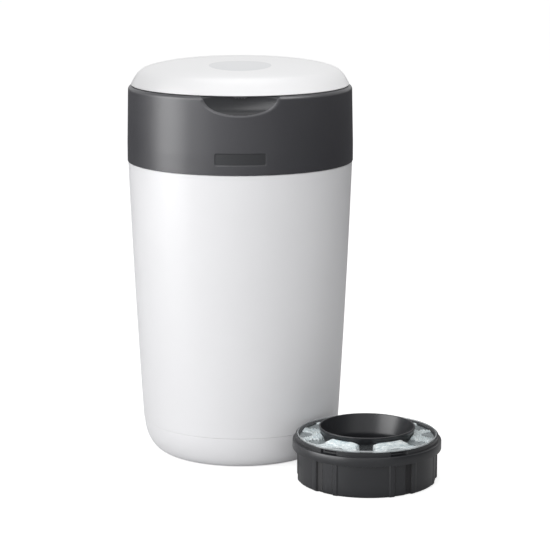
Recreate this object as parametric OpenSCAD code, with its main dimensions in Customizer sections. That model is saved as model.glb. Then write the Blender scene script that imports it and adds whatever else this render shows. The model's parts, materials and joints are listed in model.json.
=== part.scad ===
// Nappy bin with a hinged head, a domed lid, a twisting film cassette and a spare cassette.
// Millimetres, Z up, front towards -Y, origin at the centre of the tub's underside.

/* [Tub] */
// Height of the tub, from the floor to its rim
tub_h = 321.8; // [260:0.1:380]
// Radius of the tub at its rim
tub_r = 121.7; // [112:0.1:135]
// Radius of the tub just above the crease near its base
crease_r = 108; // [98:0.5:111]
// Height of the crease above the floor
crease_z = 36; // [26:1:50]
// Depth of the step at the crease
crease_step = 0.8; // [0.3:0.1:2]
// Radius of the flat underside
base_flat_r = 83; // [70:1:92]
// Outward bow of the wall between crease and rim
tub_bow = 0.85; // [0:0.05:2]
// Wall thickness of the tub
tub_wall = 2.4; // [1.6:0.1:3.2]
// Thickness of the tub's floor
floor_t = 3.6; // [3:0.1:6]
// Depth of the inward bead that stiffens the rim
rim_bead = 5.4; // [3:0.1:6]

/* [Head] */
// Height of the dark head band
band_h = 81.5; // [74:0.5:100]
// How far the band stands out past the tub's rim
band_overhang = 0.8; // [0.3:0.1:2]
// How much the band leans in between bottom and top
band_lean = 1.3; // [0:0.1:3]
// Wall thickness of the head band
band_wall = 2.5; // [1.8:0.1:3]
// Radius of the band's rounded top edge
band_round = 4.2; // [2:0.1:5]
// Width of the flat ledge between the band's edge and the well under the lid
ledge_w = 13.2; // [11.2:0.1:15.2]
// Depth of the well's side wall
well_d = 7.1; // [5:0.1:9]
// Width of the finger scoop
scoop_w = 82; // [50:1:100]
// Height of the finger scoop
scoop_h = 20.1; // [12:0.1:26]
// Depth of the finger scoop at its top
scoop_d = 10; // [5:0.1:10.2]
// Width of the plain panel recess on the band
panel_w = 53.5; // [30:0.5:80]
// Height of the plain panel recess on the band
panel_h = 12.4; // [6:0.1:20]
// Height of the panel's centre above the band's lower edge
panel_z = 16.5; // [12:0.5:40]
// Depth of the panel recess
panel_d = 0.7; // [0.3:0.1:1.2]

/* [Lid] */
// How far the lid's rim lies inside the band's edge
lid_inset = 2.8; // [1.7:0.1:4.7]
// Height of the leaning skirt of the lid
lid_skirt_h = 10.8; // [6:0.1:14]
// How far the skirt leans in
lid_lean = 5.6; // [2:0.1:8]
// Height of the lid from its rim to its top
lid_h = 26.6; // [20:0.1:40]
// Wall thickness of the lid
lid_wall = 2.4; // [1.8:0.1:3]

/* [Cassette] */
// Height of the cassette, from its underside to its mouth
cas_h = 58; // [52:0.5:60]
// Width of the space for the twist ring, between the cassette's flange and the head's collar
twist_w = 21.8; // [20:0.1:24]
// How far the flange stands out past the cassette's wall
flange_w = 5.1; // [4.4:0.1:6]
// Radius of the tube through the cassette
cas_bore_r = 41; // [34:0.5:42]
// Outer radius of the funnel's lip
cas_mouth_r = 50.7; // [47:0.1:54]
// Wall thickness of the cassette
cas_wall = 1.8; // [1.2:0.1:2.2]
// Height of the underside of the flange
cas_flange_z = 34.8; // [32:0.1:36]
// Thickness of the flange
cas_flange_t = 9.6; // [7:0.1:10.4]
// How far the rim that carries the clear cover lies inside the flange's edge
rim_w = 3.2; // [2:0.1:3.8]
// Height of the rim that carries the clear cover
cas_rim_z = 49.3; // [47.5:0.1:50.5]
// Number of mirrored pairs of keyways and windows round the cassette
cas_pairs = 3; // [2:1:3]
// Number of pleats in the film pack
film_pleats = 11; // [6:1:14]
// Gap between the tub and the spare cassette on the floor beside it
spare_gap = 0.8; // [0.8:0.1:60]
// Direction of the spare cassette, in degrees forward of the bin's right side
spare_turn = 45.1; // [0:0.1:90]

/* [Mechanism] */
// Number of clicks in one turn of the twist ring
clicks = 24; // [12:12:36]
// Number of grip ribs on the twist ring
grips = 12; // [6:1:24]
// Radius of the gripper ring's opening
grip_r = 50; // [46:0.5:54]
// Thickness of a gripper arm
arm_t = 2.2; // [1.6:0.1:3]
// Angle covered by one gripper arm
arm_angle = 80; // [60:1:84]
// Radius of the hinge pins of lid and head
pin_r = 2; // [1.5:0.1:2.4]
// Radius of the gripper arms' pins
arm_pin_r = 1.2; // [1:0.1:1.5]

/* [Hidden] */
$fn = 96;
// Gap between pieces that move past each other
gap = 0.3;
// Running clearance of a pin in its bore
run = 0.05;
// Overlap that lets a cut pass a face
cut = 1;

// Head: levels and radii
band_z = tub_h + gap;
band_top = band_z + band_h;
band_r = tub_r + band_overhang;
band_top_r = band_r - band_lean;
well_r = band_top_r - ledge_w;
lid_r = band_top_r - lid_inset;
ledge_t = 2.5;
deck_top = band_top - well_d;
deck_t = 2.5;
deck_rim_r = band_top_r - band_wall - 2.7;
collar_r = well_r - 7.8;
collar_wall = 2.2;
collar_d = 16;
base_z = band_z + 2.5;
base_t = 2.5;
base_top = base_z + base_t;
base_r = band_r - band_wall - gap;
spigot_r = tub_r - rim_bead - 0.9;
spigot_wall = 2.4;
spigot_d = 13;
cas_flange_r = collar_r - twist_w;
cas_r = cas_flange_r - flange_w;
cas_rim_r = cas_flange_r - rim_w;
shroud_r = cas_flange_r + 1.6;
shroud_wall = 2.4;
post_r = well_r - 1.5;
post_size = 3.6;
screw_r = 1.5;
screw_l = 14;
brace_l = 16;
brace_h = 12;
brace_t = 1.8;

// Fitted cassette and what carries it
cas_z = base_top + 1.9;
seat_z = cas_z + cas_flange_z;
carrier_t = 6.9;
carrier_z = seat_z - carrier_t;
carrier_bore = cas_r + 1.5;
carrier_r = collar_r - 2.8;
tooth_h = 1.6;
pitch = 360 / clicks;
key_play = 0.5;
ring_bore = cas_flange_r + 1.1;
ring_r = collar_r - gap;
ring_top = deck_top - 1.2;
ring_inner_top = seat_z + cas_flange_t + 11.6;
rib_w = 3.2;

// Gripper under the base
grip_t = 6.6;
grip_z = base_z - grip_t;
grip_out = shroud_r + 4;
hinge_r = grip_r + 5;
hinge_z = grip_z - 1.2;
barrel_r = 3;
barrel_l = 16;
lug_in = 14;
lug_out = 18;

// Cassette: directions of a pair's features, in degrees either side of the pair's middle
pair_at = -6;
rib_from = 21;
panel_from = 26.5;
keyway_from = 36.5;
edge_from = 42.5;
edge_to = 46.5;
window_from = 22;
window_to = 36;
rib_d = 0.8;
flute_d = 0.5;
keyway_d = 1.2;
window_d = 1.6;
funnel_z = 38;

// Cutter under the base
guard_w = 34;
guard_d = 12;
cutter_y = spigot_r - spigot_wall - guard_d - 6.5;
guard_h = 9;
blade_w = 28;
blade_t = 0.6;
blade_y = cutter_y + 5.9;

// Head hinge at the rear, below the band
hh_y = band_r + 5;
hh_z = band_z - 4.6;
hh_r = 4;
hh_mid = 33.6;
hh_ear = 34;
hh_out = 42;

// Lid hinge at the rear, above the band
lid_z = band_top + 0.5;
lh_y = band_top_r + 0.3;
lh_r = 4;
lh_z = lid_z + lh_r + 0.1;
lh_mid = 22;
lh_ear = 22.4;
lh_out = 30;

// Scoop: a barrel lying along X whose outline on the band is a half ellipse
scoop_z = band_top - 0.6;
scoop_v = scoop_h - 0.6;
scoop_e = (scoop_v * scoop_v - scoop_d * scoop_d) / (2 * scoop_d);
scoop_r = scoop_e + scoop_d;
scoop_y = band_top_r + scoop_e;
scoop_edge = scoop_y - sqrt(band_top_r * band_top_r - scoop_w * scoop_w / 4);
scoop_drop = scoop_r - scoop_edge;
scoop_sweep = (scoop_w * scoop_w / 4 + scoop_drop * scoop_drop) / (2 * scoop_drop);
scoop_reach = scoop_w / 2 + 12;
scoop_skin = 2.3;

function mix(a, b, t) = a + (b - a) * t;
function polar(r, a) = [r * cos(a), r * sin(a)];

// Radius of the tub's outside at a share t of the way from crease to rim
function tub_at(t) = mix(crease_r, tub_r, t) + tub_bow * 4 * t * (1 - t);

spare_reach = tub_at((cas_flange_z + cas_flange_t - crease_z) / (tub_h - crease_z))
    + cas_flange_r + spare_gap;

// The foot: a quarter ellipse from the flat underside up to the crease
function foot(inset) = [for (a = [0:7.5:90])
    [mix(base_flat_r, crease_r - crease_step, sin(a)) - inset * sin(a),
     crease_z * (1 - cos(a)) + inset * cos(a)]];

// Side of the tub between crease and rim, moved in by inset
function side(inset, t_end) = [for (i = [0:12]) let (t = t_end * i / 12)
    [tub_at(t) - inset, mix(crease_z + crease_step, tub_h, t)]];

function flip(points) = [for (i = [len(points) - 1:-1:0]) points[i]];

module ring(r_in, r_out, z0, z1) {
    rotate_extrude() translate([r_in, z0]) square([r_out - r_in, z1 - z0]);
}

// A round bar along X
module bar(r, x0, x1, y, z) {
    translate([x0, y, z]) rotate([0, 90, 0]) cylinder(r = r, h = x1 - x0);
}

// The same thing on both sides of the plane X = 0
module both_sides() {
    children();
    mirror([1, 0, 0]) children();
}

// A plate in the YZ plane between x0 and x1
module plate(points, x0, x1) {
    translate([x0, 0, 0]) rotate([90, 0, 90]) linear_extrude(x1 - x0) polygon(points);
}

module tub() color("white") difference() {
    bead_z = tub_h - 4.8;
    t_bead = 1 - 9 / (tub_h - crease_z);
    groove_in = base_flat_r - 15;
    union() {
        rotate_extrude() polygon(concat(
            [[0, 0], [groove_in, 0], [groove_in + 1, 1.2], [groove_in + 7, 1.2],
             [groove_in + 8, 0]],
            foot(0), side(0, 1),
            [[tub_r - rim_bead, tub_h], [tub_r - rim_bead, bead_z]],
            flip(side(tub_wall, t_bead)), flip(foot(tub_wall)),
            [[base_flat_r, floor_t], [0, floor_t]]));
        both_sides() tub_ear();
    }
    bar(pin_r + run, -hh_out - cut, hh_out + cut, hh_y, hh_z);
}

module tub_ear() {
    ear_top = band_z - 0.6;
    root = sqrt(tub_r * tub_r - hh_out * hh_out) - 2;
    bar(hh_r, hh_ear, hh_out, hh_y, hh_z);
    difference() {
        plate([[hh_y - hh_r, hh_z], [hh_y, hh_z - hh_r], [hh_y - 1, hh_z - hh_r],
            [root, hh_z - 15], [root, ear_top], [hh_y - hh_r, ear_top]], hh_ear, hh_out);
        cylinder(r = tub_r - 0.7 * tub_wall, h = band_z);
    }
}

module head_hinge_pin() color("silver") bar(pin_r, -hh_out - 1, hh_out + 1, hh_y, hh_z);

// The band's rounded top edge of radius r, or with inset the same edge on its inside
function band_round_at(r, inset) = [for (a = [0:15:90])
    [band_top_r - r + (r - inset) * cos(a), band_top - r + (r - inset) * sin(a)]];

module head_shell() color("dimgray") difference() {
    skin_in = well_r - scoop_d;
    skin_z = band_top - scoop_h - 2 * scoop_skin;
    union() {
        rotate_extrude() polygon(concat(
            [[band_r, band_z], [band_r - 0.05, band_z + band_h / 4]],
            band_round_at(band_round, 0),
            [[well_r, band_top], [well_r, deck_top], [well_r + ledge_t, deck_top],
             [well_r + ledge_t, band_top - ledge_t]],
            flip(band_round_at(band_round, band_wall)),
            [[band_r - band_wall - 0.05, band_z + band_h / 4], [band_r - band_wall, band_z]]));
        intersection() {
            scoop_form(scoop_skin);
            rotate_extrude() polygon([[skin_in, skin_z], [band_top_r - 1, skin_z],
                [band_top_r - 1, band_top - 3], [band_top_r - 4, band_top],
                [skin_in, band_top]]);
        }
        head_knuckle();
        both_sides() lid_ear();
    }
    scoop_form(0);
    panel_cut();
    bar(pin_r + run, -hh_mid - cut, hh_mid + cut, hh_y, hh_z);
    bar(pin_r + run, -lh_out - cut, lh_out + cut, lh_y, lh_z);
}

// The barrel that cuts the scoop, or with grow the outside of its skin
module scoop_form(grow) {
    arc_r = scoop_sweep + grow;
    arc_y = scoop_r - scoop_sweep;
    reach = scoop_reach + grow;
    translate([0, -scoop_y, scoop_z]) rotate([0, 90, 0]) rotate_extrude() polygon(concat(
        [[0, -reach]],
        [for (i = [-6:6]) let (x = reach * i / 6) [arc_y + sqrt(arc_r * arc_r - x * x), x]],
        [[0, reach]]));
}

module panel_cut() {
    corner = 2;
    difference() {
        translate([0, -band_r + 6, band_z + panel_z]) rotate([90, 0, 0])
            linear_extrude(10) rounded(panel_w, panel_h, corner);
        cylinder(r = band_r - panel_d, h = band_top);
    }
}

// A rectangle with round corners, made of plain squares and circles
module rounded(w, h, r) {
    square([w - 2 * r, h], center = true);
    square([w, h - 2 * r], center = true);
    for (x = [-1, 1], y = [-1, 1]) translate([x * (w / 2 - r), y * (h / 2 - r)]) circle(r);
}

// One wide knuckle whose back runs up into the band in a hollow curve
module head_knuckle() {
    rise = 26;
    root = sqrt(band_r * band_r - hh_mid * hh_mid) - 2;
    back = [for (t = [0:0.125:1])
        [mix(hh_y + hh_r, band_r - 0.4, 1 - (1 - t) * (1 - t)), hh_z + 1 + rise * t * t]];
    bar(hh_r, -hh_mid, hh_mid, hh_y, hh_z);
    difference() {
        plate(concat([[hh_y + hh_r, hh_z]], back,
            [[root, hh_z + 1 + rise], [root, band_z + 1.5], [hh_y - hh_r, band_z + 1.5],
             [hh_y - hh_r, hh_z]]), -hh_mid, hh_mid);
        cylinder(r = band_r - band_wall / 2, h = band_top);
    }
}

module lid_ear() {
    bar(lh_r, lh_ear, lh_out, lh_y, lh_z);
    drop = 24;
    plate([[lh_y + lh_r, lh_z], [lh_y - lh_r, lh_z], [lh_y - lh_r, band_top - 1],
        [lh_y - 5, band_top - 4], [lh_y - 5, band_top - drop], [lh_y - 3.4, band_top - drop],
        [lh_y - 0.6, band_top - drop * 0.7], [lh_y + lh_r - 1, band_top - drop * 0.35],
        [lh_y + lh_r, band_top - 3]], lh_ear, lh_out);
}

module lid_hinge_pin() color("silver") bar(pin_r, -lh_out, lh_out, lh_y, lh_z);

// Tray under the well: rim, cone and collar that guides the twist ring
module head_deck() color("gray") difference() {
    union() {
        rotate_extrude() polygon([[deck_rim_r, deck_top - deck_t], [deck_rim_r, deck_top],
            [collar_r + 3.8, deck_top], [collar_r, deck_top - 4.5],
            [collar_r, deck_top - collar_d], [collar_r + collar_wall, deck_top - collar_d],
            [collar_r + collar_wall, deck_top - 5.6], [collar_r + 4.6, deck_top - deck_t]]);
        for (a = [45:90:315]) rotate(a) translate([post_r, 0, base_top])
            cylinder(r = post_size, h = deck_top - deck_t / 2 - base_top);
    }
    scoop_form(scoop_skin + gap);
    for (a = [45:90:315]) rotate(a) translate([post_r, 0, base_top - cut])
        cylinder(r = screw_r, h = screw_l + cut);
}

module head_base() color("dimgray") difference() {
    bearing_top = carrier_z - gap;
    union() {
        rotate_extrude() polygon([[shroud_r, base_z], [spigot_r - spigot_wall, base_z],
            [spigot_r - spigot_wall, base_z - spigot_d], [spigot_r, base_z - spigot_d],
            [spigot_r, base_z], [base_r, base_z], [base_r, base_top],
            [shroud_r + shroud_wall, base_top], [shroud_r + shroud_wall, bearing_top - 6],
            [shroud_r + 7, bearing_top - 6], [shroud_r + 7, bearing_top],
            [shroud_r, bearing_top]]);
        for (a = [90, 270]) rotate(a) translate([post_r + 1, 0, base_top - 0.5])
            cylinder(r = 4, h = carrier_z - base_top + 0.5);
        for (a = [0:30:330]) rotate(a + 15)
            translate([shroud_r + 1, -brace_t / 2, base_top - 0.5])
                cube([brace_l, brace_t, brace_h]);
    }
    for (a = [45:90:315]) rotate(a) translate([post_r, 0, base_z - cut])
        cylinder(r = screw_r + 0.1, h = base_t + 2 * cut);
}

module base_screws() color("silver") for (a = [45:90:315]) rotate(a) {
    translate([post_r, 0, base_z - 2.2]) difference() {
        cylinder(r = 3.2, h = 2.2);
        translate([-0.4, -2.4, -cut]) cube([0.8, 4.8, 1 + cut]);
        translate([-2.4, -0.4, -cut]) cube([4.8, 0.8, 1 + cut]);
    }
    translate([post_r, 0, base_z - 0.5]) cylinder(r = screw_r - run, h = screw_l);
}

// Two sprung tongues whose noses lie in gaps of the carrier's teeth
module click_pawls() color("gainsboro") for (a = [90, 270]) rotate(a) {
    pawl_t = 4.5;
    tip_at = 0.7 - pitch * ceil(14 / pitch);
    tip_r = carrier_r + 0.5;
    back_r = tip_r + 2.6;
    root = post_r + 1;
    translate([root, 0, carrier_z]) cylinder(r = 3.6, h = pawl_t);
    translate([0, 0, carrier_z]) linear_extrude(pawl_t) polygon([polar(tip_r, tip_at),
        polar(back_r, tip_at - 1.1), polar(back_r + 1.4, tip_at - 1.1),
        polar(root + 1.6, -1), polar(root - 1, -1), polar(back_r, tip_at + 3.2)]);
}

// The driven ring: its seat carries the cassette's flange, its teeth make the clicks
module cassette_carrier() color("darkgray") {
    teeth_t = 5;
    difference() {
        union() {
            ring(carrier_bore, carrier_r, carrier_z, seat_z);
            translate([0, 0, carrier_z]) linear_extrude(teeth_t) difference() {
                polygon([for (i = [0:clicks - 1], k = [0, 1])
                    polar(carrier_r - 0.4 + k * (tooth_h + 0.4), (i + k * 0.92) * pitch)]);
                circle(carrier_r - 3);
            }
        }
        for (i = [0:11]) rotate(i * 30) translate([carrier_bore + 7.5, -9, seat_z - 4])
            cube([6, 18, 4 + cut]);
    }
    translate([0, 0, carrier_z]) cassette_pairs() sector(cas_r - keyway_d + gap,
        carrier_bore + 0.5, keyway_from + key_play, edge_from - key_play, carrier_t - 1.2);
}

// The hand-turned ring round the cassette, keyed to the carrier below it
module twist_ring() color("whitesmoke") {
    drive_r = ring_r - 4.4;
    rotate_extrude() polygon([[ring_bore, ring_inner_top - 5], [ring_bore, ring_inner_top],
        [ring_bore + 1.5, ring_inner_top + 1], [ring_r - 7, ring_top - 3.4],
        [ring_r - 2.6, ring_top], [ring_r - 0.8, ring_top], [ring_r, ring_top - 0.8],
        [ring_r, ring_top - 13], [ring_r - 2.2, ring_top - 13], [ring_r - 2.2, ring_top - 3.8],
        [drive_r, ring_top - 5.4], [drive_r, seat_z], [drive_r - 2.4, seat_z],
        [drive_r - 2.4, ring_top - 6], [ring_bore + 2.2, ring_inner_top - 1.4],
        [ring_bore + 2.2, ring_inner_top - 5]]);
    rib_low = [ring_bore + 3, ring_inner_top + 0.8];
    rib_high = [ring_r - 7.5, ring_top - 4.6];
    for (i = [0:grips - 1]) rotate(i * 360 / grips) translate([0, rib_w / 2, 0])
        rotate([90, 0, 0]) linear_extrude(rib_w) polygon([rib_low, rib_high,
            rib_high + [0, 2.4], rib_high + [-1.2, 2.9], rib_low + [2, 3.2],
            rib_low + [0.6, 2.2]]);
}

// Annulus under the base that holds the four sprung arms
module gripper_ring() color("lightgray") difference() {
    union() {
        ring(grip_r + 9.5, grip_out, grip_z + 2.4, base_z);
        ring(grip_r + 9.5, grip_r + 12, grip_z - 3, grip_z + 3);
        for (a = [0:90:270]) rotate(a) both_lugs();
    }
    for (a = [0:90:270]) rotate(a) rotate(90)
        bar(arm_pin_r + run, -lug_out - cut, lug_out + cut, -hinge_r, hinge_z);
}

module both_lugs() {
    for (s = [0, 1]) mirror([0, s, 0]) translate([0, lug_in, 0]) {
        rotate([90, 0, 0]) mirror([0, 0, 1]) linear_extrude(lug_out - lug_in) polygon([
            [hinge_r - 3, hinge_z - 3], [hinge_r + 3, hinge_z - 3], [grip_r + 16, grip_z],
            [grip_r + 16, grip_z + 3.4], [grip_r + 5, grip_z + 3.4], [hinge_r - 3, hinge_z]]);
    }
}

module gripper_pins() color("silver") for (a = [0:90:270]) rotate(a + 90)
    bar(arm_pin_r, -lug_out, lug_out, -hinge_r, hinge_z);

// One arm: a petal that reaches in from its barrel, with two stiffening ribs
module gripper_arm(a) color("gainsboro") rotate(a) difference() {
    petal_r = grip_r + 1;
    arm_top = hinge_z + barrel_r - 0.4;
    union() {
        rotate(90) bar(barrel_r, -barrel_l / 2, barrel_l / 2, -hinge_r, hinge_z);
        translate([0, 0, arm_top - arm_t]) linear_extrude(arm_t) difference() {
            polygon(concat([[6, 0]], [for (i = [-4:4]) polar(petal_r, i * arm_angle / 8)]));
            translate([-4, -20]) square([12, 40]);
        }
        translate([petal_r - 6, -barrel_l / 2, arm_top - arm_t])
            cube([hinge_r - petal_r + 6, barrel_l, arm_t]);
        for (y = [-5, 5]) translate([14, y - 0.8, arm_top - arm_t - 2])
            cube([hinge_r - 15, 1.6, 3]);
    }
    rotate(90) bar(arm_pin_r + run, -barrel_l, barrel_l, -hinge_r, hinge_z);
}

module gripper_arm_right() gripper_arm(0);
module gripper_arm_rear() gripper_arm(90);
module gripper_arm_left() gripper_arm(180);
module gripper_arm_front() gripper_arm(270);

// A wire wound round the X axis, as a tube with flat ends
module coil(mean_r, wire_r, length, turns) {
    sides = 6;
    steps = 12 * turns;
    pts = [for (i = [0:steps]) let (a = 360 * turns * i / steps, x = length * i / steps)
        for (k = [0:sides - 1]) let (q = 360 * k / sides, r = mean_r + wire_r * cos(q))
            [x + wire_r * sin(q), r * cos(a), r * sin(a)]];
    skin = [for (i = [0:steps - 1], k = [0:sides - 1]) let (n = (k + 1) % sides)
        [i * sides + k, (i + 1) * sides + k, (i + 1) * sides + n, i * sides + n]];
    polyhedron(points = pts, convexity = 6, faces = concat(skin,
        [[for (k = [0:sides - 1]) k], [for (k = [sides - 1:-1:0]) steps * sides + k]]));
}

module gripper_springs() color("silver") for (a = [0:90:270]) rotate(a + 90)
    translate([barrel_l / 2 + 1, -hinge_r, hinge_z]) coil(arm_pin_r + 0.9, 0.5, 4, 3);

// Guard with a slot, and the blade held in it, under the base at the rear
module cutter_guard() color("white") difference() {
    translate([-guard_w / 2, cutter_y, base_z - guard_h]) cube([guard_w, guard_d, guard_h]);
    translate([4 - guard_w / 2, cutter_y - cut, base_z - guard_h - cut])
        cube([guard_w - 8, 5 + cut, 4 + cut]);
    translate([-blade_w / 2 - 0.2, blade_y - gap, base_z - guard_h - cut])
        cube([blade_w + 0.4, blade_t + 2 * gap, guard_h - 2 + cut]);
}

module cutter_blade() color("silver")
    translate([-blade_w / 2, blade_y, base_z - guard_h + 1]) rotate([90, 0, 0])
        mirror([0, 0, 1]) linear_extrude(blade_t) polygon([[0, guard_h - 3.2],
            [blade_w, guard_h - 3.2], [blade_w, 1.5], [blade_w - 3, 0], [3, 0], [0, 1.5]]);

function bezier(p, q, r, s, t) = pow(1 - t, 3) * p + 3 * t * pow(1 - t, 2) * q
    + 3 * t * t * (1 - t) * r + pow(t, 3) * s;

// The lid's flat crown at a share of its radius
function crown(r, h, share) = [r * share,
    lid_skirt_h + (h - lid_skirt_h) * pow(1 - pow(share, 3.4), 0.6)];

// Profile of the lid's outside, or with inset of its inside: skirt, shoulder and crown
function lid_form(inset) = let (
    r = lid_r - lid_lean - inset,
    h = lid_h - inset,
    rim = [lid_r - inset, 0],
    low = rim + 0.85 * [-lid_lean, lid_skirt_h],
    high = crown(r, h, 0.9),
    over = high + 4 * (high - crown(r, h, 0.88)))
    concat([for (t = [0:0.125:1]) bezier(rim, low, over, high, t)],
        [for (a = [60:-6:0]) crown(r, h, sin(a))]);

module lid_shell() color("white") difference() {
    web_in = 8;
    web_up = 9;
    union() {
        translate([0, 0, lid_z]) rotate_extrude() polygon(concat(lid_form(0), [[0, 0]]));
        bar(lh_r, -lh_mid, lh_mid, lh_y, lh_z);
        plate([[lh_y, lh_z + lh_r], [lh_y - lh_r, lh_z], [lh_y - 3.4, lid_z],
            [lid_r - 6, lid_z], [lid_r - web_in, lid_z + web_up]], -lh_mid, lh_mid);
    }
    translate([0, 0, lid_z]) rotate_extrude() polygon(concat(
        [[0, -cut], [lid_r - lid_wall, -cut]], lid_form(lid_wall)));
    bar(pin_r + run, -lh_mid - cut, lh_mid + cut, lh_y, lh_z);
}

// Underside of the lid: a tray with a wall that carries the seal and a shallow dome
module lid_liner() color("gainsboro") translate([0, 0, lid_z]) {
    wall_r = well_r - 1.6;
    wall_t = 2.4;
    wall_d = 5;
    tray_t = 2;
    step_up = 5;
    dome_up = 9;
    foot_z = 0.4;
    bead = 2;
    bead_h = 4;
    step_in = 4;
    rim_r = lid_r - lid_wall - gap;
    rotate_extrude() polygon([[rim_r - 0.2, foot_z], [rim_r - 1.1, tray_t],
        [wall_r - step_in, tray_t], [wall_r - 2 * step_in, tray_t + step_up],
        [0, tray_t + dome_up], [0, dome_up], [wall_r - 2.2 * step_in, step_up],
        [wall_r - wall_t, foot_z],
        [wall_r - wall_t, -wall_d], [wall_r, -wall_d], [wall_r, foot_z]]);
    for (share = [0.28, 0.56]) let (r = share * wall_r)
        ring(r, r + bead, step_up - bead_h / 4, step_up + 0.75 * bead_h);
}

module lid_seal() color("dimgray") translate([0, 0, lid_z]) rotate_extrude()
    polygon([[well_r - 1.6, -1], [well_r - 1.6, -4], [well_r - 0.7, -3.4],
        [well_r - gap, -2.4], [well_r - 0.7, -1.2]]);

// Small ribbed catch under the front of the lid, in the scoop
module lid_catch() color("dimgray") {
    catch_y = lid_r - 1.2;
    translate([-7, -catch_y, lid_z - 1.4]) cube([14, 3.4, 1.4]);
    for (i = [-1.5:1.5]) translate([i * 3 - 0.6, -catch_y - 0.6, lid_z - 2.4])
        cube([1.2, 3.4, 2.4]);
}

// The inside of the funnel, or with wall its outside, from the tube up to the lip
function funnel(wall) = [[cas_bore_r + wall, funnel_z],
    [cas_mouth_r - cas_wall + wall - 0.4, cas_h - 2]];

// Part of a ring between two directions, given in degrees
module sector(r_in, r_out, from, to, h) {
    far = 2 * r_out;
    linear_extrude(h) intersection() {
        difference() {
            circle(r_out);
            circle(r_in);
        }
        polygon([[0, 0], polar(far, from), polar(far, to)]);
    }
}

// The same thing on both sides of each pair's middle; the pairs face outwards evenly
module cassette_pairs() for (i = [0:cas_pairs - 1], side = [0, 1])
    rotate(pair_at - 90 + i * 360 / cas_pairs) mirror([0, side, 0]) children();

// Cassette with its underside at height 0: body, clear cover and film pack
module cassette_body_at() {
    top = cas_flange_z + cas_flange_t;
    inner = cas_r - cas_wall;
    trim = 0.4;
    cut_top = cas_flange_z - 0.6;
    difference() {
        union() {
            rotate_extrude() polygon(concat(
                [[cas_bore_r, 0], [cas_r - 3, 0], [cas_r - 0.9, 0.9], [cas_r, 3],
                 [cas_r, cas_flange_z], [cas_flange_r - 0.4, cas_flange_z],
                 [cas_flange_r, cas_flange_z + 0.4], [cas_flange_r, top - 1],
                 [cas_flange_r - 1, top], [cas_rim_r, top], [cas_rim_r, cas_rim_z - 0.4],
                 [cas_rim_r - 0.4, cas_rim_z], [cas_rim_r - 2.8, cas_rim_z],
                 [cas_rim_r - 2.8, top - 1], [inner, top - 3], [inner, cas_wall],
                 [cas_bore_r + cas_wall, cas_wall]],
                funnel(cas_wall),
                [[cas_mouth_r, cas_h - 1.2], [cas_mouth_r, cas_h - 0.3],
                 [cas_mouth_r - 0.4, cas_h], [cas_mouth_r - cas_wall, cas_h]],
                flip(funnel(0))));
            cassette_pairs() translate([0, 0, 1.5]) {
                sector(cas_r - cas_wall / 2, cas_r + rib_d, rib_from, panel_from + trim,
                    cas_flange_z - 1);
                sector(cas_r - cas_wall / 2, cas_r + rib_d * 0.6, edge_from - trim, edge_to,
                    cas_flange_z - 1);
            }
        }
        cassette_pairs() {
            translate([0, 0, -cut]) sector(cas_r - flute_d, cas_r + 2, panel_from,
                keyway_from + trim, cut_top + cut);
            translate([0, 0, -cut]) sector(cas_r - keyway_d, cas_r + 2, keyway_from,
                edge_from, cut_top + cut);
            translate([0, 0, top]) sector(cas_rim_r - window_d, cas_rim_r + 2, window_from,
                window_to, cas_rim_z - top - 0.8);
        }
    }
    tongue_t = 1.6;
    cassette_pairs() translate([0, 0, mix(top, cas_rim_z, 0.5) - tongue_t / 2 - 0.2])
        sector(cas_rim_r - window_d - 0.5, cas_rim_r - 0.4, window_from - 1, window_to - 2.5,
            tongue_t);
}

module cassette_cover_at() {
    inner = cas_mouth_r - 1.9;
    outer = cas_rim_r - 0.4;
    rotate_extrude() polygon([[inner, cas_rim_z], [inner, cas_rim_z + 1],
        [inner + 0.8, cas_rim_z + 1.2], [outer - 1, cas_rim_z + 1.2], [outer, cas_rim_z + 0.4],
        [outer, cas_rim_z]]);
}

// Film pack: tubular film folded into stacked pleats, with a loose top fold
module cassette_film_at() {
    inner = cas_bore_r + cas_wall + 1;
    outer = cas_r - cas_wall - 0.8;
    top = funnel_z;
    rise = (top - cas_wall) / film_pleats;
    rotate_extrude() polygon(concat(
        [[inner + 1.5, cas_wall]],
        [for (i = [0:film_pleats - 1], k = [0, 1])
            [outer - (k == 0 ? 1.5 : 0), cas_wall + (i + k / 2) * rise]],
        [[outer - 3, top], [mix(inner, outer, 0.6), top + 8], [inner + 3, top]],
        flip([for (i = [0:film_pleats - 1], k = [0, 1])
            [inner + (k == 0 ? 1.5 : 0), cas_wall + (i + k / 2) * rise]])));
}

module fitted() translate([0, 0, cas_z]) children();
module spare() translate(spare_reach * [cos(spare_turn), -sin(spare_turn), 0]) children();

module cassette_body() color("#3c3d40") fitted() cassette_body_at();
module cassette_cover() color("#c4d2d8", 0.4) fitted() cassette_cover_at();
module cassette_film() color("#c9dbe2") fitted() cassette_film_at();
module spare_cassette_body() color("#3c3d40") spare() cassette_body_at();
module spare_cassette_cover() color("#c4d2d8", 0.4) spare() cassette_cover_at();
module spare_cassette_film() color("#c9dbe2") spare() cassette_film_at();

tub();
head_hinge_pin();
head_shell();
head_deck();
head_base();
click_pawls();
gripper_ring();
gripper_pins();
gripper_springs();
base_screws();
cutter_guard();
cutter_blade();
lid_hinge_pin();
twist_ring();
cassette_carrier();
cassette_body();
cassette_cover();
cassette_film();
gripper_arm_front();
gripper_arm_right();
gripper_arm_rear();
gripper_arm_left();
lid_shell();
lid_liner();
lid_seal();
lid_catch();
spare_cassette_body();
spare_cassette_cover();
spare_cassette_film();
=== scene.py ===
"""Looks of the nappy bin: shells, finishes, film, lamps and camera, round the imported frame."""
import json
import math

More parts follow.
